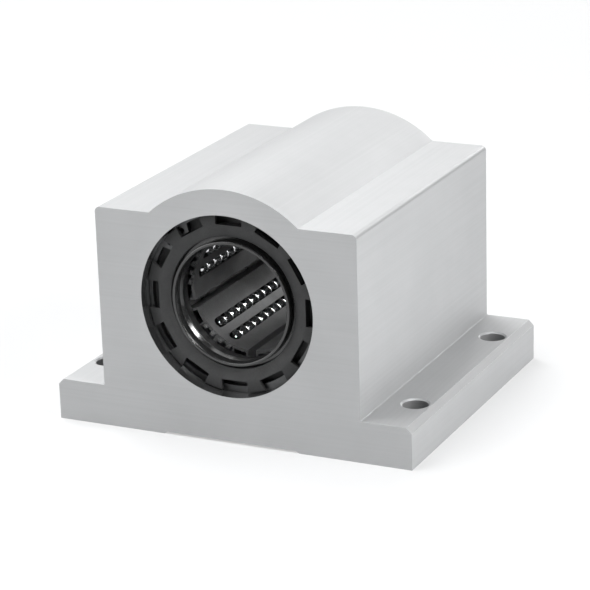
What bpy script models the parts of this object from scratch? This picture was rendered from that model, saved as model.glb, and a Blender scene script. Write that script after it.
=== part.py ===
"""Closed pillow block with a self-aligning linear ball bushing.

X runs across the two flanges, Y along the shaft, Z up from the underside of the base.
The front end is the one at -Y. Depths are measured inwards from an end face of the housing.
"""
import math

import bmesh
import bpy
from mathutils import Matrix

MM = 0.001

# Housing
LENGTH = 71.4 * MM
BASE_WIDTH = 82.55 * MM
BODY_WIDTH = 59.9 * MM
FLANGE_THICKNESS = 9.15 * MM
SHOULDER_HEIGHT = 49.0 * MM
AXIS_HEIGHT = 30.1625 * MM
DOME_RADIUS = 25.4 * MM
BORE_RADIUS = 19.84 * MM
SHOULDER_ROUND = 1.1 * MM
FOOT_FILLET = 0.8 * MM
FLANGE_CHAMFER = 1.2 * MM
CHANNEL_WIDTH = 31.75 * MM
CHANNEL_DEPTH = 0.45 * MM
CHANNEL_SLOPE = 0.8 * MM
BOLT_X = 36.51 * MM
BOLT_Y = 22.225 * MM
BOLT_HOLE_RADIUS = 2.78 * MM
GROOVE_RADIUS = 20.75 * MM
GROOVE_DEPTHS = (3.5 * MM, 5.0 * MM)

# Retaining ring: a tapered open ring with two drilled lugs
RING_OUTER = 20.45 * MM
RING_INNER = 18.75 * MM
RING_TAPER = 0.4 * MM
RING_DEPTHS = (3.7 * MM, 4.8 * MM)
RING_GAP_AT = 135.0
RING_HALF_GAP = 2.5
RING_LUG_SPAN = 8.0
RING_LUG_INNER = 17.4 * MM
RING_LUG_HOLE = 0.6 * MM

# Seal carrier and wiper, as (radius, depth) outlines
CARRIER_TEETH = 12
CARRIER_NOTCH_ANGLE = 19.0
CARRIER_NOTCH_INNER = 17.0 * MM
CARRIER_OUTLINE = [
    (19.5, 2.6), (19.5, 3.4), (16.9, 3.4), (16.9, 5.1), (19.5, 5.1), (19.5, 6.8), (14.0, 6.8),
    (14.0, 6.2), (15.6, 6.2), (15.6, 4.0), (14.4, 4.0), (14.4, 3.2), (14.9, 2.8), (16.9, 2.6),
]
WIPER_OUTLINE = [
    (12.95, 2.05), (13.45, 2.05), (13.68, 2.35), (13.68, 4.3), (15.3, 4.3), (15.3, 5.9),
    (13.5, 5.9), (12.76, 5.5), (13.35, 4.5), (13.3, 3.0), (12.85, 2.4),
]

# Bushing
SEGMENTS = 5
FIRST_SEGMENT_AT = -126.0
SEGMENT_HALF_SPAN = 32.3
SEGMENT_HALF_LENGTH = 24.4 * MM
SEGMENT_INNER = 13.2 * MM
SEGMENT_FLOOR = 13.9 * MM
SEGMENT_WALL_TOP = 17.6 * MM
SEGMENT_WALL_FROM = 30.3
RIB_TOP = 15.4 * MM
RIB_HALF_SPAN = 1.8
DIVIDER_TOP = 15.0 * MM
DIVIDER_SPAN = (17.0, 18.4)
COMB_TEETH = (-14.0, -4.7, 4.7, 14.0)
COMB_WIDTH = 1.0 * MM
COMB_LENGTH = 1.3 * MM
SLOT_HALF_LENGTH = 22.2 * MM
SLOT_INNER_HALF_WIDTH = 1.4 * MM
SLOT_OUTER_HALF_WIDTH = 1.9 * MM

BALL_RADIUS = 1.5875 * MM
BALLS_IN_ROW = 13
BALL_LINK_RADIUS = 0.45 * MM
LOAD_ROW_RADIUS = 14.29 * MM
LOAD_ROW_ANGLE = 9.6
RETURN_ROW_RADIUS = 16.2 * MM
RETURN_ROW_ANGLE = 23.6

PLATE_HALF_SPAN = 15.0
PLATE_INNER = 15.7 * MM
PLATE_TRACK = 16.22 * MM
PLATE_OUTER = 17.85 * MM
PLATE_CROWN = 0.3 * MM
PLATE_HALF_LENGTH = 21.0 * MM

OUTER_RING_OUTLINE = [
    (19.5, 19.4), (19.5, -19.4), (19.0, -20.0), (18.2, -20.0), (18.2, 20.0), (19.0, 20.0),
]
END_RING_OUTLINE = [
    (19.3, 7.8), (19.3, 15.2), (18.0, 15.2), (18.0, 9.6), (13.9, 9.6), (13.9, 7.6), (14.3, 7.2),
    (18.7, 7.2),
]

SEAL_STEPS = 48
WIPER_STEPS = 40
HIDDEN_RING_STEPS = 36
BORE_STEPS = 64

# Look of each piece: colour, roughness, metallic
LOOKS = {
    "housing_aluminium": ((0.66, 0.67, 0.68), 0.36, 1.0),
    "ring_steel": ((0.58, 0.59, 0.60), 0.30, 1.0),
    "seal_plastic": ((0.055, 0.058, 0.058), 0.48, 0.0),
    "wiper_rubber": ((0.040, 0.042, 0.042), 0.38, 0.0),
    "segment_plastic": ((0.12, 0.12, 0.125), 0.40, 0.0),
    "end_plastic": ((0.020, 0.020, 0.022), 0.45, 0.0),
    "ball_steel": ((0.80, 0.80, 0.80), 0.12, 1.0),
    "plate_steel": ((0.50, 0.50, 0.51), 0.28, 1.0),
    "sleeve_steel": ((0.55, 0.55, 0.56), 0.30, 1.0),
}


def clear_scene():
    for ob in list(bpy.data.objects):
        bpy.data.objects.remove(ob, do_unlink=True)


def make_collection(name):
    collection = bpy.data.collections.new(name)
    bpy.context.scene.collection.children.link(collection)
    return collection


def make_materials():
    made = {}
    for name, (colour, roughness, metallic) in LOOKS.items():
        mat = bpy.data.materials.new(name)
        mat.use_nodes = True
        shader = mat.node_tree.nodes["Principled BSDF"]
        shader.inputs["Base Color"].default_value = (*colour, 1.0)
        shader.inputs["Roughness"].default_value = roughness
        shader.inputs["Metallic"].default_value = metallic
        mat.diffuse_color = (*colour, 1.0)
        made[name] = mat
    return made


def add_object(name, mesh, collection, look=None):
    ob = bpy.data.objects.new(name, mesh)
    collection.objects.link(ob)
    if look is not None:
        mesh.materials.clear()
        mesh.materials.append(MATERIALS[look])
    else:
        ob.hide_render = True
        ob.display_type = "WIRE"
    return ob


def polar(radius, degrees):
    turn = math.radians(degrees)
    return radius * math.cos(turn), radius * math.sin(turn)


def arc(centre, radius, start, end, steps):
    """Points from start to end, in degrees, both ends included."""
    points = []
    for i in range(steps + 1):
        x, y = polar(radius, start + (end - start) * i / steps)
        points.append((centre[0] + x, centre[1] + y))
    return points


def circle(centre, radius, steps):
    return arc(centre, radius, 0.0, 360.0, steps)[:-1]


def extruded_outline(name, loops, thickness):
    """Mesh of a filled flat outline in local XY, as thick as stated along local Z."""
    curve = bpy.data.curves.new(name, "CURVE")
    curve.dimensions = "2D"
    curve.fill_mode = "BOTH"
    curve.extrude = thickness / 2
    for loop in loops:
        spline = curve.splines.new("POLY")
        spline.points.add(len(loop) - 1)
        for point, (x, y) in zip(spline.points, loop):
            point.co = (x, y, 0.0, 1.0)
        spline.use_cyclic_u = True
    holder = bpy.data.objects.new(name + "_outline", curve)
    CUTTERS.objects.link(holder)
    depsgraph = bpy.context.evaluated_depsgraph_get()
    mesh = bpy.data.meshes.new_from_object(holder.evaluated_get(depsgraph))
    bpy.data.objects.remove(holder, do_unlink=True)
    bpy.data.curves.remove(curve)
    mesh.name = name
    bm = bmesh.new()
    bm.from_mesh(mesh)
    bmesh.ops.remove_doubles(bm, verts=bm.verts, dist=1e-6)
    bmesh.ops.recalc_face_normals(bm, faces=bm.faces)
    bm.to_mesh(mesh)
    bm.free()
    return mesh


def along_y(ob, middle_y=0.0):
    """Stand a piece drawn in local XY upright, its thickness along the shaft."""
    ob.rotation_euler = (math.pi / 2, 0.0, 0.0)
    ob.location = (0.0, middle_y, 0.0)


def profile_mesh(name, outline, closed):
    mesh = bpy.data.meshes.new(name)
    bm = bmesh.new()
    verts = [bm.verts.new((r, 0.0, z)) for r, z in outline]
    for a, b in zip(verts, verts[1:]):
        bm.edges.new((a, b))
    if closed:
        bm.edges.new((verts[-1], verts[0]))
    bm.to_mesh(mesh)
    bm.free()
    return mesh


def turned(name, outline, look, steps, closed=True):
    """A turned piece: the (radius, height) outline goes once round local Z."""
    ob = add_object(name, profile_mesh(name, outline, closed), PARTS, look)
    screw = ob.modifiers.new("turn", "SCREW")
    screw.steps = steps
    screw.render_steps = steps
    screw.use_merge_vertices = True
    screw.merge_threshold = 0.000001
    screw.use_smooth_shade = False
    return ob


def face_end(ob, end):
    """Point local Z out of the front (-1) or rear (+1) end, on the shaft axis."""
    ob.rotation_euler = (-end * math.pi / 2, 0.0, 0.0)
    ob.location = (0.0, 0.0, AXIS_HEIGHT)


def depth_outline(points):
    """Outline of (radius, depth) in millimetres as (radius, height from the middle)."""
    return [(r * MM, LENGTH / 2 - d * MM) for r, d in points]


def mesh_from_bmesh(name, bm):
    bmesh.ops.recalc_face_normals(bm, faces=bm.faces)
    mesh = bpy.data.meshes.new(name)
    bm.to_mesh(mesh)
    bm.free()
    return mesh


def box(bm, size, matrix):
    made = bmesh.ops.create_cube(bm, size=1.0)
    scale = Matrix.Diagonal((*size, 1.0))
    bmesh.ops.transform(bm, matrix=matrix @ scale, verts=made["verts"])


def apply_cut(ob, cutter, operation="DIFFERENCE"):
    cut = ob.modifiers.new(cutter.name, "BOOLEAN")
    cut.operation = operation
    cut.solver = "EXACT"
    cut.object = cutter


def housing_outline():
    half_base = BASE_WIDTH / 2
    half_body = BODY_WIDTH / 2
    rise = SHOULDER_HEIGHT - AXIS_HEIGHT
    dome_start = math.degrees(math.asin(rise / DOME_RADIUS))
    right = [
        (CHANNEL_WIDTH / 2 - CHANNEL_SLOPE, CHANNEL_DEPTH),
        (CHANNEL_WIDTH / 2, 0.0),
        (half_base, 0.0),
        (half_base, FLANGE_THICKNESS - FLANGE_CHAMFER),
        (half_base - FLANGE_CHAMFER, FLANGE_THICKNESS),
    ]
    foot = (half_body + FOOT_FILLET, FLANGE_THICKNESS + FOOT_FILLET)
    right += arc(foot, FOOT_FILLET, 270.0, 180.0, 4)
    shoulder = (half_body - SHOULDER_ROUND, SHOULDER_HEIGHT - SHOULDER_ROUND)
    right += arc(shoulder, SHOULDER_ROUND, 0.0, 90.0, 5)
    dome = arc((0.0, AXIS_HEIGHT), DOME_RADIUS, dome_start, 180.0 - dome_start, 30)
    left = [(-x, z) for x, z in reversed(right)]
    return right + dome + left


def build_housing():
    bore = circle((0.0, AXIS_HEIGHT), BORE_RADIUS, BORE_STEPS)
    mesh = extruded_outline("housing", [housing_outline(), bore], LENGTH)
    housing = add_object("housing", mesh, PARTS, "housing_aluminium")
    along_y(housing)
    cutter = add_object("housing_cuts", housing_cuts(), CUTTERS)
    apply_cut(housing, cutter)


def housing_cuts():
    bm = bmesh.new()
    for x in (-BOLT_X, BOLT_X):
        for y in (-BOLT_Y, BOLT_Y):
            made = bmesh.ops.create_cone(
                bm, cap_ends=True, segments=24, radius1=BOLT_HOLE_RADIUS,
                radius2=BOLT_HOLE_RADIUS, depth=4 * FLANGE_THICKNESS)
            bmesh.ops.translate(bm, verts=made["verts"], vec=(x, y, 0.0))
    near, far = GROOVE_DEPTHS
    upright = Matrix.Rotation(math.pi / 2, 4, "X")
    for end in (-1, 1):
        middle = end * (LENGTH / 2 - (near + far) / 2)
        made = bmesh.ops.create_cone(
            bm, cap_ends=True, segments=BORE_STEPS, radius1=GROOVE_RADIUS,
            radius2=GROOVE_RADIUS, depth=far - near)
        place = Matrix.Translation((0.0, middle, AXIS_HEIGHT)) @ upright
        bmesh.ops.transform(bm, matrix=place, verts=made["verts"])
    return mesh_from_bmesh("housing_cuts", bm)


def retaining_ring_outline():
    gap_start = RING_GAP_AT + RING_HALF_GAP
    gap_end = RING_GAP_AT - RING_HALF_GAP + 360.0
    outer = arc((0.0, 0.0), RING_OUTER, gap_start, gap_end, 44)
    shift = polar(RING_TAPER, RING_GAP_AT)
    lug_steps = 3
    lug_a = arc((0.0, 0.0), RING_LUG_INNER, gap_end, gap_end - RING_LUG_SPAN, lug_steps)
    inner = arc(shift, RING_INNER, gap_end - RING_LUG_SPAN - 2.0, gap_start + RING_LUG_SPAN + 2.0, 38)
    lug_b = arc((0.0, 0.0), RING_LUG_INNER, gap_start + RING_LUG_SPAN, gap_start, lug_steps)
    holes = []
    for side in (-1, 1):
        at = RING_GAP_AT + side * (RING_HALF_GAP + RING_LUG_SPAN / 2)
        holes.append(circle(polar(18.45 * MM, at), RING_LUG_HOLE, 10))
    return [outer + lug_a + inner + lug_b] + holes


def build_retaining_ring(name, end):
    near, far = RING_DEPTHS
    mesh = extruded_outline(name, retaining_ring_outline(), far - near)
    ring = add_object(name, mesh, PARTS, "ring_steel")
    along_y(ring, end * (LENGTH / 2 - (near + far) / 2))
    ring.location.z = AXIS_HEIGHT


def build_seal_carrier(name, end):
    carrier = turned(name, depth_outline(CARRIER_OUTLINE), "seal_plastic", SEAL_STEPS)
    face_end(carrier, end)
    bm = bmesh.new()
    half_chord = CARRIER_NOTCH_INNER * math.tan(math.radians(CARRIER_NOTCH_ANGLE / 2))
    for i in range(CARRIER_TEETH):
        turn = Matrix.Rotation(math.radians(i * 360.0 / CARRIER_TEETH), 4, "Z")
        middle = CARRIER_NOTCH_INNER + 2.0 * MM
        place = turn @ Matrix.Translation((middle, 0.0, LENGTH / 2 - 2.9 * MM))
        box(bm, (4.0 * MM, 2.12 * half_chord, 1.4 * MM), place)
    cutter = add_object(name + "_notches", mesh_from_bmesh(name + "_notches", bm), CUTTERS)
    face_end(cutter, end)
    apply_cut(carrier, cutter)


def build_wiper(name, end):
    wiper = turned(name, depth_outline(WIPER_OUTLINE), "wiper_rubber", WIPER_STEPS)
    face_end(wiper, end)


def build_end_ring(name, end):
    ring = turned(name, depth_outline(END_RING_OUTLINE), "end_plastic", HIDDEN_RING_STEPS)
    face_end(ring, end)


def build_outer_ring():
    outline = [(r * MM, z * MM) for r, z in OUTER_RING_OUTLINE]
    face_end(turned("outer_ring", outline, "sleeve_steel", HIDDEN_RING_STEPS), 1)


def segment_outline():
    """Section of one segment about local +X, with its channels open outwards."""
    half = SEGMENT_HALF_SPAN
    wall = SEGMENT_WALL_FROM
    divide_in, divide_out = DIVIDER_SPAN
    origin = (0.0, 0.0)
    points = arc(origin, SEGMENT_INNER, half, -half, 12)
    points += [polar(SEGMENT_WALL_TOP, -half), polar(SEGMENT_WALL_TOP, -wall)]
    points += arc(origin, SEGMENT_FLOOR, -wall, -divide_out, 3)
    points += [polar(DIVIDER_TOP, -divide_out), polar(DIVIDER_TOP, -divide_in)]
    points += arc(origin, SEGMENT_FLOOR, -divide_in, -RIB_HALF_SPAN, 3)
    points += [polar(RIB_TOP, -RIB_HALF_SPAN), polar(RIB_TOP, RIB_HALF_SPAN)]
    points += arc(origin, SEGMENT_FLOOR, RIB_HALF_SPAN, divide_in, 3)
    points += [polar(DIVIDER_TOP, divide_in), polar(DIVIDER_TOP, divide_out)]
    points += arc(origin, SEGMENT_FLOOR, divide_out, wall, 3)
    points += [polar(SEGMENT_WALL_TOP, wall), polar(SEGMENT_WALL_TOP, half)]
    return points


def slot_cutter_mesh(name):
    """Two long slots with sloping walls and round ends, narrow towards the shaft."""
    bm = bmesh.new()
    low, high = SEGMENT_INNER - 0.6 * MM, SEGMENT_FLOOR + 0.6 * MM
    slope = (SLOT_OUTER_HALF_WIDTH - SLOT_INNER_HALF_WIDTH) / (SEGMENT_FLOOR - SEGMENT_INNER)
    small = SLOT_INNER_HALF_WIDTH - slope * 0.6 * MM
    large = SLOT_OUTER_HALF_WIDTH + slope * 0.6 * MM
    reach = SLOT_HALF_LENGTH - SLOT_INNER_HALF_WIDTH
    outward = Matrix.Rotation(math.pi / 2, 4, "Y")
    for angle in (-LOAD_ROW_ANGLE, LOAD_ROW_ANGLE):
        turn = Matrix.Rotation(math.radians(angle), 4, "Z")
        verts = []
        for z in (-reach, reach):
            made = bmesh.ops.create_cone(
                bm, cap_ends=True, segments=8, radius1=small, radius2=large, depth=high - low)
            place = turn @ Matrix.Translation(((low + high) / 2, 0.0, z)) @ outward
            bmesh.ops.transform(bm, matrix=place, verts=made["verts"])
            verts += made["verts"]
        hull = bmesh.ops.convex_hull(bm, input=verts)
        waste = [g for g in hull["geom_interior"] + hull["geom_unused"]
                 if isinstance(g, bmesh.types.BMVert)]
        bmesh.ops.delete(bm, geom=waste, context="VERTS")
    bmesh.ops.dissolve_limit(bm, angle_limit=0.001, verts=bm.verts, edges=bm.edges)
    return mesh_from_bmesh(name, bm)


def comb_mesh(name):
    bm = bmesh.new()
    overlap = 0.5 * MM
    for end in (-1, 1):
        for angle in COMB_TEETH:
            turn = Matrix.Rotation(math.radians(angle), 4, "Z")
            z = end * (SEGMENT_HALF_LENGTH + (COMB_LENGTH - overlap) / 2)
            middle = (SEGMENT_INNER + SEGMENT_FLOOR) / 2
            size = (0.5 * MM, COMB_WIDTH, COMB_LENGTH + overlap)
            box(bm, size, turn @ Matrix.Translation((middle, 0.0, z)))
    return mesh_from_bmesh(name, bm)


def turn_to_segment(ob, index):
    """Put a piece drawn about local +X, its length along local Z, at its segment's angle."""
    angle = math.radians(FIRST_SEGMENT_AT + index * 360.0 / SEGMENTS)
    upright = Matrix.Rotation(math.pi / 2, 4, "X")
    spin = Matrix.Rotation(angle, 4, "Z")
    ob.matrix_world = Matrix.Translation((0.0, 0.0, AXIS_HEIGHT)) @ upright @ spin


def build_segment(name, index):
    mesh = extruded_outline(name, [segment_outline()], 2 * SEGMENT_HALF_LENGTH)
    segment = add_object(name, mesh, PARTS, "segment_plastic")
    turn_to_segment(segment, index)
    comb = add_object(name + "_comb", comb_mesh(name + "_comb"), CUTTERS)
    slots = add_object(name + "_slots", slot_cutter_mesh(name + "_slots"), CUTTERS)
    for tool, operation in ((comb, "UNION"), (slots, "DIFFERENCE")):
        turn_to_segment(tool, index)
        apply_cut(segment, tool, operation)


def plate_outline():
    half = PLATE_HALF_SPAN
    origin = (0.0, 0.0)
    inner = [(-half, PLATE_INNER)]
    for track in (-LOAD_ROW_ANGLE, LOAD_ROW_ANGLE):
        inner += [(track - 4.5, PLATE_INNER), (track - 3.0, PLATE_TRACK),
                  (track + 3.0, PLATE_TRACK), (track + 4.5, PLATE_INNER)]
    inner.append((half, PLATE_INNER))
    points = [polar(r, a) for a, r in inner]
    return points + arc(origin, PLATE_OUTER, half, -half, 6)


def build_plate(name, index):
    mesh = extruded_outline(name, [plate_outline()], 2 * PLATE_HALF_LENGTH)
    bm = bmesh.new()
    bm.from_mesh(mesh)
    bmesh.ops.bisect_plane(
        bm, geom=bm.verts[:] + bm.edges[:] + bm.faces[:], plane_co=(0, 0, 0), plane_no=(0, 0, 1))
    for v in bm.verts:
        radius = math.hypot(v.co.x, v.co.y)
        if radius > PLATE_OUTER - 0.01 * MM and abs(v.co.z) > PLATE_HALF_LENGTH / 2:
            v.co.xy *= (radius - PLATE_CROWN) / radius
    bm.to_mesh(mesh)
    bm.free()
    turn_to_segment(add_object(name, mesh, PARTS, "plate_steel"), index)


def row_outline(angles):
    """Half outline of a row of balls, from pole to pole, with a short link between balls."""
    first = (BALLS_IN_ROW - 1) * BALL_RADIUS
    points = [(0.0, first + BALL_RADIUS)]
    for i in range(BALLS_IN_ROW):
        middle = first - 2 * i * BALL_RADIUS
        for angle in angles:
            turn = math.radians(angle)
            points.append((BALL_RADIUS * math.sin(turn), middle + BALL_RADIUS * math.cos(turn)))
        if i < BALLS_IN_ROW - 1:
            points.append((BALL_LINK_RADIUS, middle - BALL_RADIUS))
    points.append((0.0, -first - BALL_RADIUS))
    return points


def build_row(name, index, radius, angle, steps, ring_angles):
    row = turned(name, row_outline(ring_angles), "ball_steel", steps, closed=False)
    turn_to_segment(row, index)
    row.matrix_world = row.matrix_world @ Matrix.Translation((*polar(radius, angle), 0.0))


def build_ends():
    for end_name, end in (("front", -1), ("rear", 1)):
        build_retaining_ring("retaining_ring_" + end_name, end)
        build_seal_carrier("seal_carrier_" + end_name, end)
        build_wiper("wiper_lip_" + end_name, end)
        build_end_ring("end_ring_" + end_name, end)


def build_bushing():
    build_outer_ring()
    for i in range(SEGMENTS):
        build_segment("ball_segment_%02d" % (i + 1), i)
        build_plate("ball_plate_%02d" % (i + 1), i)
        for side, turn in ((0, -1), (1, 1)):
            number = 2 * i + side + 1
            build_row("load_row_%02d" % number, i, LOAD_ROW_RADIUS, turn * LOAD_ROW_ANGLE, 6,
                      (45.0, 90.0, 135.0))
            build_row("return_row_%02d" % number, i, RETURN_ROW_RADIUS, turn * RETURN_ROW_ANGLE, 5,
                      (55.0, 125.0))


clear_scene()
PARTS = make_collection("pillow_block_ball_bushing")
CUTTERS = make_collection("cutters")
MATERIALS = make_materials()
build_housing()
build_ends()
build_bushing()
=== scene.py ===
"""Looks of the pillow block with its ball bushing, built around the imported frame.

X runs across the flanges, Y along the shaft, Z up. The front end is the one at -Y.
Shapes are written in millimetres; depths are measured inwards from an end face.
"""
import math

import bmesh
import bpy
from mathutils import Matrix, Vector


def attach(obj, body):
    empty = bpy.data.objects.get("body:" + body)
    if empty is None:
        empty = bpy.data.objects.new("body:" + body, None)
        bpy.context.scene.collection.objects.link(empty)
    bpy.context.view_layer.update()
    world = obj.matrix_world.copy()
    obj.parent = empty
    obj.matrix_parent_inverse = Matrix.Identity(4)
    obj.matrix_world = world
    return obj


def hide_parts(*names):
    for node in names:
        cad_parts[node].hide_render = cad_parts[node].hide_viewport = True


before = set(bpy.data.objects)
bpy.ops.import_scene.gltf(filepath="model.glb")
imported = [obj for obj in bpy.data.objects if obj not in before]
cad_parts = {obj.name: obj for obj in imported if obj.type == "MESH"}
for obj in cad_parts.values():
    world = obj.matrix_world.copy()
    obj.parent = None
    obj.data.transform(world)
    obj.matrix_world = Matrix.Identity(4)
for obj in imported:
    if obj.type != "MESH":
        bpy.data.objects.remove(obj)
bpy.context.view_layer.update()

MM = 0.001

# Housing
LENGTH = 71.4
BASE_WIDTH = 82.55
BODY_WIDTH = 59.9
FLANGE_THICKNESS = 9.15
SHOULDER_HEIGHT = 49.0
AXIS_HEIGHT = 30.1625
DOME_RADIUS = 25.4
BORE_RADIUS = 19.84
SHOULDER_ROUND = 1.1
FOOT_FILLET = 0.3
FLANGE_CHAMFER = 1.2
CHANNEL_WIDTH = 31.75
CHANNEL_DEPTH = 0.45
CHANNEL_SLOPE = 0.8
BOLT_X = 36.51
BOLT_Y = 22.225
BOLT_HOLE_RADIUS = 2.78
BOLT_HOLE_CHAMFER = 0.35
GROOVE_RADIUS = 20.75
GROOVE_DEPTHS = (3.5, 5.0)
EDGE_BREAK = 0.15

# Retaining ring
RING_OUTER = 20.45
RING_INNER = 18.75
RING_TAPER = 0.4
RING_DEPTHS = (3.7, 4.8)
RING_GAP_AT = 135.0
RING_HALF_GAP = 2.5
RING_LUG_SPAN = 8.0
RING_LUG_INNER = 17.4
RING_LUG_BLEND = 2.0
RING_LUG_HOLE = 0.6
RING_LUG_HOLE_AT = 18.45

# Seal carrier and wiper: (radius, depth, corner radius)
CARRIER_TEETH = 12
CARRIER_NOTCH_ANGLE = 19.0
CARRIER_NOTCH_INNER = 17.0
CARRIER_NOTCH_REACH = 4.0
CARRIER_NOTCH_DEPTHS = (2.2, 3.6)
CARRIER_NOTCH_FLARE = 1.06
CARRIER_OUTLINE = [
    (19.62, 2.6, 0.18), (19.62, 3.4, 0.1), (16.9, 3.4, 0.1), (16.9, 5.1, 0.1),
    (19.5, 5.1, 0.1), (19.5, 6.8, 0.15), (14.0, 6.8, 0.12), (14.0, 6.2, 0.12),
    (15.6, 6.2, 0.1), (15.6, 4.0, 0.1), (14.4, 4.0, 0.1), (14.4, 3.2, 0.15),
    (17.0, 2.6, 0.5),
]
WIPER_OUTLINE = [
    (12.95, 2.05, 0.18), (13.6, 2.05, 0.22), (13.68, 4.3, 0.1), (15.3, 4.3, 0.1),
    (15.3, 5.9, 0.1), (13.5, 5.9, 0.3), (12.76, 5.5, 0.1), (13.44, 4.62, 0.35),
    (13.38, 3.0, 0.5), (12.95, 2.5, 0.25),
]

# Bushing
SEGMENTS = 5
FIRST_SEGMENT_AT = -126.0
SEGMENT_HALF_SPAN = 32.3
SEGMENT_HALF_LENGTH = 24.4
SEGMENT_INNER = 13.2
SEGMENT_FLOOR = 13.9
SEGMENT_WALL_TOP = 17.6
SEGMENT_WALL_FROM = 30.3
RIB_TOP = 15.4
RIB_HALF_SPAN = 1.8
DIVIDER_TOP = 15.0
DIVIDER_SPAN = (17.0, 18.4)
COMB_TEETH = (-14.0, -4.7, 4.7, 14.0)
COMB_WIDTH = 1.0
COMB_THICKNESS = 0.5
COMB_LENGTH = 1.3
SLOT_HALF_LENGTH = 22.2
SLOT_INNER_HALF_WIDTH = 1.22
SLOT_OUTER_HALF_WIDTH = 1.66

BALL_RADIUS = 1.5875
BALL_HALF_GAP = 0.006
BALLS_IN_ROW = 13
# Each ball lies a little further round than the last, as loose balls do: degrees, radians
BALL_TURN = 37.0
BALL_TILT = 0.6
LOAD_ROW_RADIUS = 14.29
LOAD_ROW_ANGLE = 9.6
RETURN_ROW_RADIUS = 16.2
RETURN_ROW_ANGLE = 23.6

END_RING_OUTLINE = [
    (19.3, 7.8, 0.1), (19.3, 15.2, 0.1), (18.0, 15.2, 0.1), (18.0, 9.6, 0.1), (13.9, 9.6, 0.1),
    (13.9, 7.6, 0.1), (14.3, 7.2, 0.1), (18.7, 7.2, 0.1),
]

RING_STEPS = 192

# Soft lights: (name, azimuth, elevation, distance and size in metres, watts). Two large boxes
# high on the left light the tops and two low ones the ends; three fills soften the left and
# the back, and small lamps close by light the right side.
LIGHT_AIM_HEIGHT = 0.03
HIGH_WATTS = 11.5
LOW_WATTS = 5.5
FILL_WATTS = 1.6
LIGHTS = [
    ("left_high", 300.0, 60.0, 1.2, 0.6, HIGH_WATTS),
    ("left_back_high", 240.0, 60.0, 1.2, 0.6, HIGH_WATTS),
    ("front_left_low", 315.0, 10.0, 1.2, 0.6, LOW_WATTS),
    ("back_low", 180.0, 10.0, 1.2, 0.6, LOW_WATTS),
    ("left_back", 210.0, 35.0, 1.2, 0.6, FILL_WATTS),
    ("left", 240.0, 35.0, 1.2, 0.6, FILL_WATTS),
    ("back", 170.0, 22.0, 1.2, 0.4, FILL_WATTS / 2),
    ("near_key", 63.0, 37.0, 0.3, 0.08, 0.6),
    ("near_right", 90.0, 15.0, 0.4, 0.2, 1.1),
    ("near_top", 0.0, 70.0, 0.4, 0.2, 0.35),
]

# Narrow soft lamp that shines through the wiper's opening onto the lower segments
BORE_LAMP_AT = (20.0, 31.0)
BORE_LAMP_AIM = (-3.5, -33.0, 30.5)
BORE_LAMP_DISTANCE = 0.5
BORE_LAMP_BEAM = 19.0
BORE_LAMP_SIZE = 0.012
BORE_LAMP_WATTS = 16.0

FLOOR_GLOW = 0.45
FLOOR_TONE = 0.27
FLOOR_CONTRAST = 0.01
FLOOR_RADIUS = 6.0
WORLD_GLOW = 0.0

# Camera: angles in degrees, its aim and distance in millimetres
CAMERA_AZIMUTH = 25.81
CAMERA_ELEVATION = 18.59
CAMERA_ROLL = -1.76
CAMERA_AIM = (-1.28, 0.0, 21.49)
CAMERA_DISTANCE = 561.78
CAMERA_LENS = 155.9


# ---------------------------------------------------------------- shapes

def polar(radius, degrees):
    turn = math.radians(degrees)
    return radius * math.cos(turn), radius * math.sin(turn)


def arc(centre, radius, start, end, steps):
    points = []
    for i in range(steps + 1):
        x, y = polar(radius, start + (end - start) * i / steps)
        points.append((centre[0] + x, centre[1] + y))
    return points


def circle(centre, radius, steps):
    return arc(centre, radius, 0.0, 360.0, steps)[:-1]


def rounded(corners, steps=4):
    """Closed outline of (x, y, corner radius) with each corner turned into an arc."""
    points = []
    count = len(corners)
    for i, (x, y, radius) in enumerate(corners):
        here = Vector((x, y))
        before = Vector(corners[i - 1][:2]) - here
        after = Vector(corners[(i + 1) % count][:2]) - here
        reach = min(radius, 0.45 * before.length, 0.45 * after.length)
        start = here + before.normalized() * reach
        end = here + after.normalized() * reach
        for k in range(steps + 1):
            t = k / steps
            points.append(tuple((1 - t) ** 2 * start + 2 * t * (1 - t) * here + t ** 2 * end))
    return points


def mesh_from(name, bm):
    bmesh.ops.recalc_face_normals(bm, faces=bm.faces)
    mesh = bpy.data.meshes.new(name)
    bm.to_mesh(mesh)
    bm.free()
    return mesh


def add_object(name, mesh):
    ob = bpy.data.objects.new(name, mesh)
    bpy.context.scene.collection.objects.link(ob)
    return ob


def revolved_mesh(name, outline, steps=RING_STEPS):
    """Mesh of a closed (radius, height) outline turned once round local Z."""
    bm = bmesh.new()
    rings = []
    for i in range(steps):
        c, s = polar(1.0, 360.0 * i / steps)
        rings.append([bm.verts.new((r * c * MM, r * s * MM, z * MM)) for r, z in outline])
    for i in range(steps):
        a, b = rings[i], rings[(i + 1) % steps]
        for k in range(len(outline)):
            m = (k + 1) % len(outline)
            bm.faces.new((a[k], b[k], b[m], a[m]))
    return mesh_from(name, bm)


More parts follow.
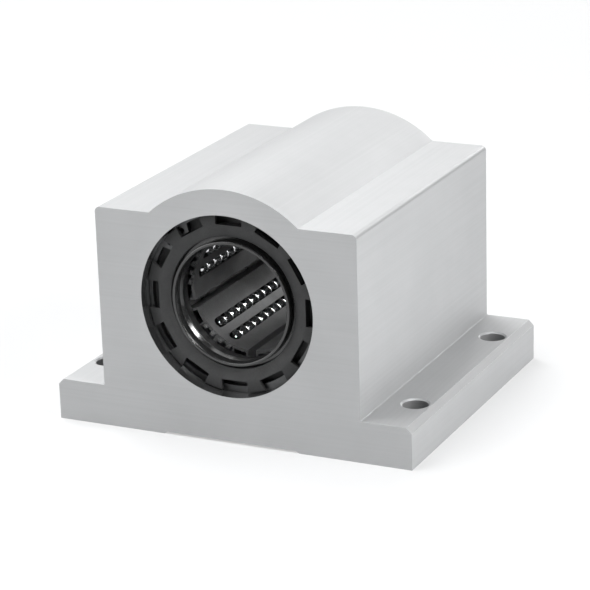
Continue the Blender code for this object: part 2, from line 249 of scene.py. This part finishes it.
def extruded_mesh(name, loops, thickness):
    """Mesh of a filled flat outline in local XY, as thick as stated along local Z."""
    curve = bpy.data.curves.new(name, "CURVE")
    curve.dimensions = "2D"
    curve.fill_mode = "BOTH"
    curve.extrude = thickness / 2 * MM
    for loop in loops:
        spline = curve.splines.new("POLY")
        spline.points.add(len(loop) - 1)
        for point, (x, y) in zip(spline.points, loop):
            point.co = (x * MM, y * MM, 0.0, 1.0)
        spline.use_cyclic_u = True
    holder = add_object(name + "_outline", curve)
    depsgraph = bpy.context.evaluated_depsgraph_get()
    mesh = bpy.data.meshes.new_from_object(holder.evaluated_get(depsgraph))
    bpy.data.objects.remove(holder, do_unlink=True)
    bpy.data.curves.remove(curve)
    bm = bmesh.new()
    bm.from_mesh(mesh)
    bmesh.ops.remove_doubles(bm, verts=bm.verts, dist=1e-6)
    bpy.data.meshes.remove(mesh)
    return mesh_from(name, bm)


def add_box(bm, size, matrix):
    made = bmesh.ops.create_cube(bm, size=1.0)
    scale = Matrix.Diagonal((size[0] * MM, size[1] * MM, size[2] * MM, 1.0))
    bmesh.ops.transform(bm, matrix=matrix @ scale, verts=made["verts"])


def add_cone(bm, low_radius, high_radius, height, centre):
    made = bmesh.ops.create_cone(
        bm, cap_ends=True, segments=48, radius1=low_radius * MM, radius2=high_radius * MM,
        depth=height * MM)
    bmesh.ops.translate(bm, verts=made["verts"], vec=[v * MM for v in centre])


def shift(x, y, z):
    return Matrix.Translation((x * MM, y * MM, z * MM))


def cut(ob, tool, operation="DIFFERENCE"):
    change = ob.modifiers.new(tool.name, "BOOLEAN")
    change.operation = operation
    change.solver = "EXACT"
    change.object = tool


def bevel(ob, width, segments=2, angle=35.0, material=-1):
    change = ob.modifiers.new("edge_break", "BEVEL")
    change.width = width * MM
    change.segments = segments
    change.limit_method = "ANGLE"
    change.angle_limit = math.radians(angle)
    change.harden_normals = True
    change.use_clamp_overlap = True
    change.material = material


def baked_down(ob, *tools):
    """Replace the object's mesh with its finished one, moved into the shared frame."""
    bpy.context.view_layer.update()
    depsgraph = bpy.context.evaluated_depsgraph_get()
    made = bpy.data.meshes.new_from_object(ob.evaluated_get(depsgraph), depsgraph=depsgraph)
    made.transform(ob.matrix_world)
    old = ob.data
    ob.modifiers.clear()
    ob.data = made
    ob.matrix_world = Matrix.Identity(4)
    bpy.data.meshes.remove(old)
    made.name = ob.name
    for tool in tools:
        bpy.data.objects.remove(tool, do_unlink=True)
    return ob


def smooth(ob, angle=35.0):
    ob.data.shade_smooth()
    ob.data.set_sharp_from_angle(angle=math.radians(angle))


def dissolve_flat(mesh):
    bm = bmesh.new()
    bm.from_mesh(mesh)
    bmesh.ops.dissolve_limit(bm, angle_limit=math.radians(0.05), verts=bm.verts, edges=bm.edges)
    bm.to_mesh(mesh)
    bm.free()


def facing_end(end):
    """Local Z points out of the front (-1) or rear (+1) end, on the shaft axis."""
    turn = Matrix.Rotation(-end * math.pi / 2, 4, "X")
    return shift(0.0, 0.0, AXIS_HEIGHT) @ turn


def finish_piece(ob, body, nodes, materials):
    ob.data.materials.clear()
    for material in materials:
        ob.data.materials.append(material)
    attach(ob, body)
    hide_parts(*nodes)
    return ob


# ---------------------------------------------------------------- materials

class Look:
    """A node material: a Principled shader and helpers that feed it."""

    def __init__(self, name, **values):
        self.material = bpy.data.materials.new(name)
        self.material.use_nodes = True
        self.tree = self.material.node_tree
        self.shader = self.tree.nodes["Principled BSDF"]
        for key, value in values.items():
            self.shader.inputs[key.replace("_", " ")].default_value = value
        self.coords = self.tree.nodes.new("ShaderNodeTexCoord")

    def link(self, a, b):
        self.tree.links.new(a, b)

    def math(self, operation, a, b=None, clamp=False):
        node = self.tree.nodes.new("ShaderNodeMath")
        node.operation = operation
        node.use_clamp = clamp
        for socket, value in zip(node.inputs, (a, b)):
            if value is None:
                continue
            if isinstance(value, (int, float)):
                socket.default_value = value
            else:
                self.link(value, socket)
        return node.outputs[0]

    def noise(self, scale, detail=3.0, roughness=0.55, stretch=(1.0, 1.0, 1.0)):
        """Noise in the piece's own space; scale is per metre along each axis."""
        mapping = self.tree.nodes.new("ShaderNodeMapping")
        mapping.inputs["Scale"].default_value = tuple(scale * s for s in stretch)
        self.link(self.coords.outputs["Object"], mapping.inputs["Vector"])
        node = self.tree.nodes.new("ShaderNodeTexNoise")
        node.inputs["Scale"].default_value = 1.0
        node.inputs["Detail"].default_value = detail
        node.inputs["Roughness"].default_value = roughness
        self.link(mapping.outputs["Vector"], node.inputs["Vector"])
        return node.outputs["Fac"]

    def spread(self, value, low, high, out_low, out_high):
        node = self.tree.nodes.new("ShaderNodeMapRange")
        node.clamp = True
        for name, number in (("From Min", low), ("From Max", high),
                             ("To Min", out_low), ("To Max", out_high)):
            node.inputs[name].default_value = number
        self.link(value, node.inputs["Value"])
        return node.outputs["Result"]

    def mix(self, factor, a, b):
        """Number mix of a and b."""
        node = self.tree.nodes.new("ShaderNodeMix")
        node.data_type = "FLOAT"
        self.link(factor, node.inputs[0])
        for socket, value in ((node.inputs[2], a), (node.inputs[3], b)):
            if isinstance(value, (int, float)):
                socket.default_value = value
            else:
                self.link(value, socket)
        return node.outputs[0]

    def colour(self, factor, dark, light):
        node = self.tree.nodes.new("ShaderNodeMix")
        node.data_type = "RGBA"
        self.link(factor, node.inputs[0])
        node.inputs[6].default_value = (*dark, 1.0)
        node.inputs[7].default_value = (*light, 1.0)
        self.link(node.outputs[2], self.shader.inputs["Base Color"])

    def rough(self, value):
        self.link(value, self.shader.inputs["Roughness"])

    def bump(self, height, distance, strength=1.0):
        node = self.tree.nodes.new("ShaderNodeBump")
        node.inputs["Strength"].default_value = strength
        node.inputs["Distance"].default_value = distance
        self.link(height, node.inputs["Height"])
        self.link(node.outputs["Normal"], self.shader.inputs["Normal"])


def grey(value, tint=0.012):
    """A grey with the faint cool cast of the whole piece."""
    return (value * (1 - tint), value, value * (1 + tint))


def aluminium(name, base=0.40, contrast=0.016, roughness=0.5):
    """Drawn faces carry streaks along the shaft; the sawn ends carry level milling lines."""
    look = Look(name, Metallic=0.5)
    axes = look.tree.nodes.new("ShaderNodeSeparateXYZ")
    look.link(look.coords.outputs["Normal"], axes.inputs[0])
    is_end = look.spread(look.math("ABSOLUTE", axes.outputs["Y"]), 0.6, 0.9, 0.0, 1.0)
    milled = look.noise(1.0, 3.0, 0.6, (18.0, 40.0, 2400.0))
    drawn = look.noise(1.0, 3.0, 0.6, (1500.0, 9.0, 1500.0))
    lines = look.mix(is_end, drawn, milled)
    mottle = look.noise(55.0, 3.0, 0.55)
    grain = look.noise(5200.0, 2.0, 0.6)
    tone = look.math("ADD", look.math("MULTIPLY", lines, 0.45),
                     look.math("MULTIPLY", mottle, 0.55))
    tone = look.spread(tone, 0.32, 0.68, 0.0, 1.0)
    look.colour(tone, grey(base - contrast), grey(base + contrast))
    worn = look.math("ADD", look.math("MULTIPLY", mottle, 0.6), look.math("MULTIPLY", lines, 0.4))
    look.rough(look.spread(worn, 0.3, 0.7, roughness + 0.05, roughness - 0.05))
    height = look.math("ADD", look.math("MULTIPLY", lines, 0.6), look.math("MULTIPLY", grain, 0.4))
    look.bump(height, 0.000012)
    return look.material


def bored_aluminium(name, stretch, base, roughness, metallic=0.9):
    look = Look(name, Metallic=metallic)
    rings = look.noise(1.0, 2.0, 0.5, stretch)
    mottle = look.noise(120.0, 3.0, 0.5)
    tone = look.math("ADD", look.math("MULTIPLY", rings, 0.5), look.math("MULTIPLY", mottle, 0.5))
    look.colour(look.spread(tone, 0.3, 0.7, 0.0, 1.0), grey(base * 0.85), grey(base * 1.15))
    look.rough(look.spread(rings, 0.3, 0.7, roughness * 0.8, roughness * 1.2))
    look.bump(rings, 0.000006)
    return look.material


def steel(name, base, roughness, stretch=(300.0, 300.0, 300.0)):
    look = Look(name, Metallic=1.0)
    lines = look.noise(1.0, 3.0, 0.6, stretch)
    mottle = look.noise(180.0, 3.0, 0.5)
    tone = look.math("ADD", look.math("MULTIPLY", lines, 0.5), look.math("MULTIPLY", mottle, 0.5))
    look.colour(look.spread(tone, 0.3, 0.7, 0.0, 1.0), grey(base * 0.85), grey(base * 1.1))
    look.rough(look.spread(mottle, 0.3, 0.7, roughness * 0.8, roughness * 1.25))
    look.bump(lines, 0.000008)
    return look.material


def plastic(name, base, roughness, grain=2600.0, depth=0.00002, specular=0.5):
    look = Look(name, Metallic=0.0, Specular_IOR_Level=specular)
    skin = look.noise(grain, 3.0, 0.6)
    cloud = look.noise(240.0, 3.0, 0.5)
    tone = look.math("ADD", look.math("MULTIPLY", skin, 0.5), look.math("MULTIPLY", cloud, 0.5))
    look.colour(look.spread(tone, 0.3, 0.7, 0.0, 1.0), grey(base * 0.8), grey(base * 1.25))
    look.rough(look.spread(cloud, 0.3, 0.7, roughness + 0.05, roughness - 0.05))
    look.bump(skin, depth)
    return look.material


ALUMINIUM = aluminium("look_aluminium_drawn")
ALUMINIUM_EDGE = aluminium("look_aluminium_edge", base=0.375, contrast=0.025, roughness=0.45)
# Darker aluminium for the shoulder rounds and flange chamfers: painted shade on these slanted
# faces; the lower roughness is their smoother finish.
ALUMINIUM_PAINTED_CORNER_SHADE = aluminium("look_aluminium_corner_painted_shade", base=0.37, contrast=0.025, roughness=0.42)
# Much lighter aluminium for the broken edges along the flange chamfers: painted highlight lines.
ALUMINIUM_PAINTED_HIGHLIGHT = aluminium("look_aluminium_painted_highlight", base=0.72, contrast=0.03, roughness=0.4)
# The bore wall's base is half that of the outer faces: painted shade inside the bore; the high
# gloss is its bored finish.
BORED_PAINTED_SHADE = bored_aluminium("look_aluminium_bored_painted_shade", (60.0, 5200.0, 60.0), 0.2, 0.14)
DRILLED = bored_aluminium("look_aluminium_drilled", (60.0, 60.0, 5200.0), 0.22, 0.55, 0.3)
RING_STEEL = steel("look_retaining_ring_steel", 0.11, 0.42, (900.0, 900.0, 900.0))
CARRIER = plastic("look_carrier_plastic", 0.035, 0.5, specular=0.25)
RUBBER = plastic("look_wiper_rubber", 0.012, 0.16, grain=3400.0, depth=0.000003, specular=0.8)
SEGMENT = plastic("look_segment_plastic", 0.085, 0.36, specular=0.35)
END_PLASTIC = plastic("look_end_ring_plastic", 0.010, 0.42)
BALL = steel("look_ball_steel", 0.72, 0.10, (500.0, 500.0, 500.0))
PLATE = steel("look_plate_steel", 0.46, 0.30, (1800.0, 40.0, 1800.0))
SLEEVE = steel("look_sleeve_steel", 0.5, 0.32, (40.0, 2600.0, 40.0))

HOUSING_LOOKS = (ALUMINIUM, ALUMINIUM_EDGE, BORED_PAINTED_SHADE, DRILLED, ALUMINIUM_PAINTED_CORNER_SHADE, ALUMINIUM_PAINTED_HIGHLIGHT)
PLAIN, EDGE, IN_BORE, IN_HOLE, PAINTED_CORNER_SHADE, PAINTED_HIGHLIGHT = range(len(HOUSING_LOOKS))


# ---------------------------------------------------------------- housing

def housing_outline():
    half_base = BASE_WIDTH / 2
    half_body = BODY_WIDTH / 2
    rise = SHOULDER_HEIGHT - AXIS_HEIGHT
    dome_start = math.degrees(math.asin(rise / DOME_RADIUS))
    right = [
        (CHANNEL_WIDTH / 2 - CHANNEL_SLOPE, CHANNEL_DEPTH),
        (CHANNEL_WIDTH / 2, 0.0),
        (half_base, 0.0),
        (half_base, FLANGE_THICKNESS - FLANGE_CHAMFER),
        (half_base - FLANGE_CHAMFER, FLANGE_THICKNESS),
    ]
    foot = (half_body + FOOT_FILLET, FLANGE_THICKNESS + FOOT_FILLET)
    right += arc(foot, FOOT_FILLET, 270.0, 180.0, 8)
    shoulder = (half_body - SHOULDER_ROUND, SHOULDER_HEIGHT - SHOULDER_ROUND)
    right += arc(shoulder, SHOULDER_ROUND, 0.0, 90.0, 10)
    dome = arc((0.0, AXIS_HEIGHT), DOME_RADIUS, dome_start, 180.0 - dome_start, 72)
    left = [(-x, z) for x, z in reversed(right)]
    return right + dome + left


def bolt_places():
    return [(x, y) for x in (-BOLT_X, BOLT_X) for y in (-BOLT_Y, BOLT_Y)]


def housing_cuts():
    """The bolt holes, and the groove of each retaining ring."""
    bm = bmesh.new()
    for x, y in bolt_places():
        add_cone(bm, BOLT_HOLE_RADIUS, BOLT_HOLE_RADIUS, 4 * FLANGE_THICKNESS, (x, y, 0.0))
    near, far = GROOVE_DEPTHS
    upright = Matrix.Rotation(math.pi / 2, 4, "X")
    for end in (-1, 1):
        made = bmesh.ops.create_cone(
            bm, cap_ends=True, segments=RING_STEPS, radius1=GROOVE_RADIUS * MM,
            radius2=GROOVE_RADIUS * MM, depth=(far - near) * MM)
        place = shift(0.0, end * (LENGTH / 2 - (near + far) / 2), AXIS_HEIGHT) @ upright
        bmesh.ops.transform(bm, matrix=place, verts=made["verts"])
    return mesh_from("housing_cuts", bm)


def hole_edge_cuts():
    """Cones that break the upper edge of each bolt hole."""
    bm = bmesh.new()
    over = 0.5
    wide = BOLT_HOLE_RADIUS + BOLT_HOLE_CHAMFER + over
    narrow = BOLT_HOLE_RADIUS - over
    depth = BOLT_HOLE_CHAMFER + 2 * over
    middle = FLANGE_THICKNESS - BOLT_HOLE_CHAMFER / 2
    for x, y in bolt_places():
        add_cone(bm, narrow, wide, depth, (x, y, middle))
    return mesh_from("hole_edge_cuts", bm)


def build_housing():
    bore = circle((0.0, AXIS_HEIGHT), BORE_RADIUS, RING_STEPS)
    mesh = extruded_mesh("housing_block", [housing_outline(), bore], LENGTH)
    dissolve_flat(mesh)
    housing = add_object("housing_block", mesh)
    housing.matrix_world = Matrix.Rotation(math.pi / 2, 4, "X")
    tool = add_object("housing_cuts", housing_cuts())
    edges = add_object("hole_edge_cuts", hole_edge_cuts())
    bpy.context.view_layer.update()
    cut(housing, tool)
    cut(housing, edges)
    baked_down(housing, tool, edges)
    dissolve_flat(housing.data)
    housing.data.materials.clear()
    for material in HOUSING_LOOKS:
        housing.data.materials.append(material)
    for face in housing.data.polygons:
        face.material_index = wall_of(face)
    housing.data.shade_smooth()
    bevel(housing, EDGE_BREAK, material=EDGE)
    baked_down(housing)
    # Broken edges along the flange chamfers take the much lighter look: painted highlight lines.
    for face in housing.data.polygons:
        if face.material_index == EDGE and on_chamfer_edge(face):
            face.material_index = PAINTED_HIGHLIGHT
    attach(housing, "housing")
    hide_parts("housing")


def on_chamfer_edge(face):
    """True for a broken edge that runs along the chamfer of a flange."""
    x, _, z = face.center / MM
    outer = abs(x) > BASE_WIDTH / 2 - FLANGE_CHAMFER - EDGE_BREAK
    return outer and z > FLANGE_THICKNESS - FLANGE_CHAMFER - EDGE_BREAK and abs(face.normal.y) < 0.3


def wall_of(face):
    """Which of the housing's looks a face has."""
    x, y, z = face.center / MM
    # The bore wall takes the dark look that paints shade inside the bore.
    if abs(face.normal.y) < 0.5 and math.hypot(x, z - AXIS_HEIGHT) < GROOVE_RADIUS + 0.5:
        return IN_BORE
    near_hole = math.hypot(abs(x) - BOLT_X, abs(y) - BOLT_Y) < BOLT_HOLE_RADIUS + 0.05
    if near_hole and abs(face.normal.z) < 0.5:
        return IN_HOLE
    # Slanted faces of the shoulder rounds and flange chamfers take the darker look, painted shade.
    slanted = 0.15 < face.normal.z < 0.95 and abs(face.normal.x) > 0.25
    on_shoulder = abs(x) > BODY_WIDTH / 2 - SHOULDER_ROUND and z > SHOULDER_HEIGHT - 2.0
    on_flange = abs(x) > BASE_WIDTH / 2 - FLANGE_CHAMFER and z > FLANGE_THICKNESS - 2.0
    return PAINTED_CORNER_SHADE if slanted and (on_shoulder or on_flange) else PLAIN


# ---------------------------------------------------------------- ends

def depth_outline(corners, steps=4):
    """(radius, depth, corner radius) as a rounded (radius, height from the middle) outline."""
    return [(r, LENGTH / 2 - d) for r, d in rounded(corners, steps)]


def build_carrier(name, end, node):
    mesh = revolved_mesh(name, depth_outline(CARRIER_OUTLINE))
    carrier = add_object(name, mesh)
    carrier.matrix_world = facing_end(end)
    bm = bmesh.new()
    near, far = CARRIER_NOTCH_DEPTHS
    half_chord = CARRIER_NOTCH_INNER * math.tan(math.radians(CARRIER_NOTCH_ANGLE / 2))
    size = (CARRIER_NOTCH_REACH, 2 * CARRIER_NOTCH_FLARE * half_chord, far - near)
    middle = CARRIER_NOTCH_INNER + CARRIER_NOTCH_REACH / 2
    for i in range(CARRIER_TEETH):
        turn = Matrix.Rotation(math.radians(i * 360.0 / CARRIER_TEETH), 4, "Z")
        add_box(bm, size, turn @ shift(middle, 0.0, LENGTH / 2 - (near + far) / 2))
    tool = add_object(name + "_notches", mesh_from(name + "_notches", bm))
    tool.matrix_world = facing_end(end)
    cut(carrier, tool)
    carrier.data.shade_smooth()
    bevel(carrier, 0.1, angle=50.0)
    baked_down(carrier, tool)
    finish_piece(carrier, "housing", [node], [CARRIER])


def build_wiper(name, end, node):
    wiper = add_object(name, revolved_mesh(name, depth_outline(WIPER_OUTLINE, 6)))
    wiper.matrix_world = facing_end(end)
    baked_down(wiper)
    smooth(wiper, 50.0)
    finish_piece(wiper, "housing", [node], [RUBBER])


def build_end_ring(name, end, node):
    ring = add_object(name, revolved_mesh(name, depth_outline(END_RING_OUTLINE, 3)))
    ring.matrix_world = facing_end(end)
    baked_down(ring)
    smooth(ring, 50.0)
    finish_piece(ring, "cage", [node], [END_PLASTIC])


def retaining_ring_loops():
    gap_start = RING_GAP_AT + RING_HALF_GAP
    gap_end = RING_GAP_AT - RING_HALF_GAP + 360.0
    outer = arc((0.0, 0.0), RING_OUTER, gap_start, gap_end, 160)
    offset = polar(RING_TAPER, RING_GAP_AT)
    lug_a = arc((0.0, 0.0), RING_LUG_INNER, gap_end, gap_end - RING_LUG_SPAN, 6)
    lug_end = RING_LUG_SPAN + RING_LUG_BLEND
    inner = arc(offset, RING_INNER, gap_end - lug_end, gap_start + lug_end, 150)
    lug_b = arc((0.0, 0.0), RING_LUG_INNER, gap_start + RING_LUG_SPAN, gap_start, 6)
    holes = []
    for side in (-1, 1):
        at = RING_GAP_AT + side * (RING_HALF_GAP + RING_LUG_SPAN / 2)
        holes.append(circle(polar(RING_LUG_HOLE_AT, at), RING_LUG_HOLE, 24))
    return [outer + lug_a + inner + lug_b] + holes


def build_retaining_ring(name, end, node):
    near, far = RING_DEPTHS
    mesh = extruded_mesh(name, retaining_ring_loops(), far - near)
    dissolve_flat(mesh)
    ring = add_object(name, mesh)
    middle = end * (LENGTH / 2 - (near + far) / 2)
    ring.matrix_world = shift(0.0, middle, AXIS_HEIGHT) @ Matrix.Rotation(math.pi / 2, 4, "X")
    ring.data.shade_smooth()
    bevel(ring, 0.08)
    baked_down(ring)
    finish_piece(ring, "housing", [node], [RING_STEEL])


# ---------------------------------------------------------------- bushing

def segment_place(index):
    """A piece drawn about local +X, its length along local Z, at its segment's angle."""
    angle = math.radians(FIRST_SEGMENT_AT + index * 360.0 / SEGMENTS)
    upright = Matrix.Rotation(math.pi / 2, 4, "X")
    return shift(0.0, 0.0, AXIS_HEIGHT) @ upright @ Matrix.Rotation(angle, 4, "Z")


def segment_outline():
    half = SEGMENT_HALF_SPAN
    wall = SEGMENT_WALL_FROM
    divide_in, divide_out = DIVIDER_SPAN
    origin = (0.0, 0.0)
    points = arc(origin, SEGMENT_INNER, half, -half, 36)
    points += [polar(SEGMENT_WALL_TOP, -half), polar(SEGMENT_WALL_TOP, -wall)]
    points += arc(origin, SEGMENT_FLOOR, -wall, -divide_out, 8)
    points += [polar(DIVIDER_TOP, -divide_out), polar(DIVIDER_TOP, -divide_in)]
    points += arc(origin, SEGMENT_FLOOR, -divide_in, -RIB_HALF_SPAN, 10)
    points += [polar(RIB_TOP, -RIB_HALF_SPAN), polar(RIB_TOP, RIB_HALF_SPAN)]
    points += arc(origin, SEGMENT_FLOOR, RIB_HALF_SPAN, divide_in, 10)
    points += [polar(DIVIDER_TOP, divide_in), polar(DIVIDER_TOP, divide_out)]
    points += arc(origin, SEGMENT_FLOOR, divide_out, wall, 8)
    points += [polar(SEGMENT_WALL_TOP, wall), polar(SEGMENT_WALL_TOP, half)]
    return points


def slot_tool(name):
    """Two long slots with sloping walls and round ends, narrow towards the shaft."""
    bm = bmesh.new()
    over = 0.6
    low, high = SEGMENT_INNER - over, SEGMENT_FLOOR + over
    slope = (SLOT_OUTER_HALF_WIDTH - SLOT_INNER_HALF_WIDTH) / (SEGMENT_FLOOR - SEGMENT_INNER)
    small = (SLOT_INNER_HALF_WIDTH - slope * over) * MM
    large = (SLOT_OUTER_HALF_WIDTH + slope * over) * MM
    reach = SLOT_HALF_LENGTH - SLOT_INNER_HALF_WIDTH
    outward = Matrix.Rotation(math.pi / 2, 4, "Y")
    for angle in (-LOAD_ROW_ANGLE, LOAD_ROW_ANGLE):
        turn = Matrix.Rotation(math.radians(angle), 4, "Z")
        verts = []
        for z in (-reach, reach):
            made = bmesh.ops.create_cone(
                bm, cap_ends=True, segments=32, radius1=small, radius2=large,
                depth=(high - low) * MM)
            place = turn @ shift((low + high) / 2, 0.0, z) @ outward
            bmesh.ops.transform(bm, matrix=place, verts=made["verts"])
            verts += made["verts"]
        hull = bmesh.ops.convex_hull(bm, input=verts)
        waste = [g for g in hull["geom_interior"] + hull["geom_unused"]
                 if isinstance(g, bmesh.types.BMVert)]
        bmesh.ops.delete(bm, geom=waste, context="VERTS")
    bmesh.ops.dissolve_limit(bm, angle_limit=0.001, verts=bm.verts, edges=bm.edges)
    return add_object(name, mesh_from(name, bm))


def comb_tool(name):
    bm = bmesh.new()
    overlap = 0.5
    for end in (-1, 1):
        for angle in COMB_TEETH:
            turn = Matrix.Rotation(math.radians(angle), 4, "Z")
            z = end * (SEGMENT_HALF_LENGTH + (COMB_LENGTH - overlap) / 2)
            middle = (SEGMENT_INNER + SEGMENT_FLOOR) / 2
            add_box(bm, (COMB_THICKNESS, COMB_WIDTH, COMB_LENGTH + overlap),
                    turn @ shift(middle, 0.0, z))
    return add_object(name, mesh_from(name, bm))


def build_segment(index):
    number = "%02d" % (index + 1)
    name = "segment_" + number
    mesh = extruded_mesh(name, [segment_outline()], 2 * SEGMENT_HALF_LENGTH)
    dissolve_flat(mesh)
    segment = add_object(name, mesh)
    comb, slots = comb_tool(name + "_comb"), slot_tool(name + "_slots")
    for ob in (segment, comb, slots):
        ob.matrix_world = segment_place(index)
    cut(segment, comb, "UNION")
    cut(segment, slots)
    segment.data.shade_smooth()
    bevel(segment, 0.1, angle=40.0)
    baked_down(segment, comb, slots)
    finish_piece(segment, "cage", ["ball_segment_" + number], [SEGMENT])


def build_row(kind, index, side, radius, angle):
    number = "%02d" % (2 * index + side + 1)
    name = "%s_balls_%s" % (kind, number)
    bm = bmesh.new()
    first = (BALLS_IN_ROW - 1) * BALL_RADIUS
    for i in range(BALLS_IN_ROW):
        x, y = polar(radius, angle)
        place = shift(x, y, first - 2 * i * BALL_RADIUS)
        tilt = (Matrix.Rotation(math.radians(BALL_TURN * i), 4, "X")
                @ Matrix.Rotation(BALL_TILT * i, 4, "Y"))
        bmesh.ops.create_uvsphere(
            bm, u_segments=28, v_segments=18, radius=(BALL_RADIUS - BALL_HALF_GAP) * MM,
            matrix=place @ tilt)
    ob = add_object(name, mesh_from(name, bm))
    ob.matrix_world = segment_place(index)
    baked_down(ob)
    ob.data.shade_smooth()
    node = "%s_row_%s" % (kind, number)
    finish_piece(ob, name, [node], [BALL])


def build_bushing():
    for index in range(SEGMENTS):
        build_segment(index)
        for side, turn in ((0, -1), (1, 1)):
            build_row("load", index, side, LOAD_ROW_RADIUS, turn * LOAD_ROW_ANGLE)
            build_row("return", index, side, RETURN_ROW_RADIUS, turn * RETURN_ROW_ANGLE)
        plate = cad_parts["ball_plate_%02d" % (index + 1)]
        dress(plate, PLATE, 0.12)
    dress(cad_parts["outer_ring"], SLEEVE, 0.15)


def dress(node, material, width):
    """Give a CAD node that stays in view its material and broken edges."""
    node.data.materials.clear()
    node.data.materials.append(material)
    bevel(node, width, angle=40.0)


# ---------------------------------------------------------------- studio

def studio():
    world = bpy.data.worlds.new("studio")
    world.use_nodes = True
    bpy.context.scene.world = world
    background = world.node_tree.nodes["Background"]
    background.inputs["Color"].default_value = (1.0, 1.0, 1.0, 1.0)
    background.inputs["Strength"].default_value = WORLD_GLOW

    mesh = bpy.data.meshes.new("floor")
    bm = bmesh.new()
    bmesh.ops.create_circle(bm, cap_ends=True, segments=96, radius=FLOOR_RADIUS)
    bm.to_mesh(mesh)
    bm.free()
    floor = add_object("floor", mesh)
    look = Look("look_floor_paper", Metallic=0.0)
    fibre = look.noise(900.0, 2.0, 0.5)
    look.colour(fibre, grey(FLOOR_TONE - FLOOR_CONTRAST),
                grey(FLOOR_TONE + FLOOR_CONTRAST))
    look.shader.inputs["Emission Color"].default_value = (1.0, 1.0, 1.0, 1.0)
    look.shader.inputs["Emission Strength"].default_value = FLOOR_GLOW
    look.rough(look.spread(fibre, 0.3, 0.7, 0.85, 0.95))
    mesh.materials.append(look.material)

    for light in LIGHTS:
        area_light(*light)
    bore_lamp()


def area_light(name, azimuth, elevation, distance, size, power):
    data = bpy.data.lights.new(name, "AREA")
    data.shape = "SQUARE"
    data.size = size
    data.energy = power
    place_light(name, data, azimuth, elevation, distance, Vector((0.0, 0.0, LIGHT_AIM_HEIGHT)))


def bore_lamp():
    data = bpy.data.lights.new("bore_lamp", "SPOT")
    data.spot_size = 2 * math.atan(BORE_LAMP_BEAM * MM / 2 / BORE_LAMP_DISTANCE)
    data.spot_blend = 0.5
    data.shadow_soft_size = BORE_LAMP_SIZE
    data.energy = BORE_LAMP_WATTS
    azimuth, elevation = BORE_LAMP_AT
    place_light("bore_lamp", data, azimuth, elevation, BORE_LAMP_DISTANCE,
                Vector(BORE_LAMP_AIM) * MM)


def outward(azimuth, elevation):
    """Direction away from the piece; azimuth runs from the front end towards +X."""
    turn, lift = math.radians(azimuth), math.radians(elevation)
    return Vector((math.sin(turn) * math.cos(lift), -math.cos(turn) * math.cos(lift),
                   math.sin(lift)))


def place_light(name, data, azimuth, elevation, distance, target):
    away = outward(azimuth, elevation)
    light = add_object(name, data)
    light.location = away * distance + target
    light.rotation_mode = "QUATERNION"
    light.rotation_quaternion = (-away).to_track_quat("-Z", "Y")


def camera():
    data = bpy.data.cameras.new("view")
    data.lens = CAMERA_LENS
    data.sensor_width = 36.0
    data.clip_start = 0.01
    data.clip_end = 20.0
    view = add_object("view", data)
    back = outward(CAMERA_AZIMUTH, CAMERA_ELEVATION)
    level = Vector((0.0, 0.0, 1.0)).cross(back).normalized()
    turn = Matrix((level, back.cross(level), back)).transposed().to_4x4()
    roll = Matrix.Rotation(math.radians(CAMERA_ROLL), 4, "Z")
    place = (Vector(CAMERA_AIM) + CAMERA_DISTANCE * back) * MM
    view.matrix_world = Matrix.Translation(place) @ turn @ roll
    bpy.context.scene.camera = view


for end_name, end in (("front", -1), ("rear", 1)):
    build_carrier("carrier_" + end_name, end, "seal_carrier_" + end_name)
    build_wiper("wiper_" + end_name, end, "wiper_lip_" + end_name)
    build_retaining_ring("snap_ring_" + end_name, end, "retaining_ring_" + end_name)
    build_end_ring("bushing_end_" + end_name, end, "end_ring_" + end_name)
build_housing()
build_bushing()
studio()
camera()
settings = bpy.context.scene.view_settings
settings.view_transform = "Standard"
settings.look = "None"
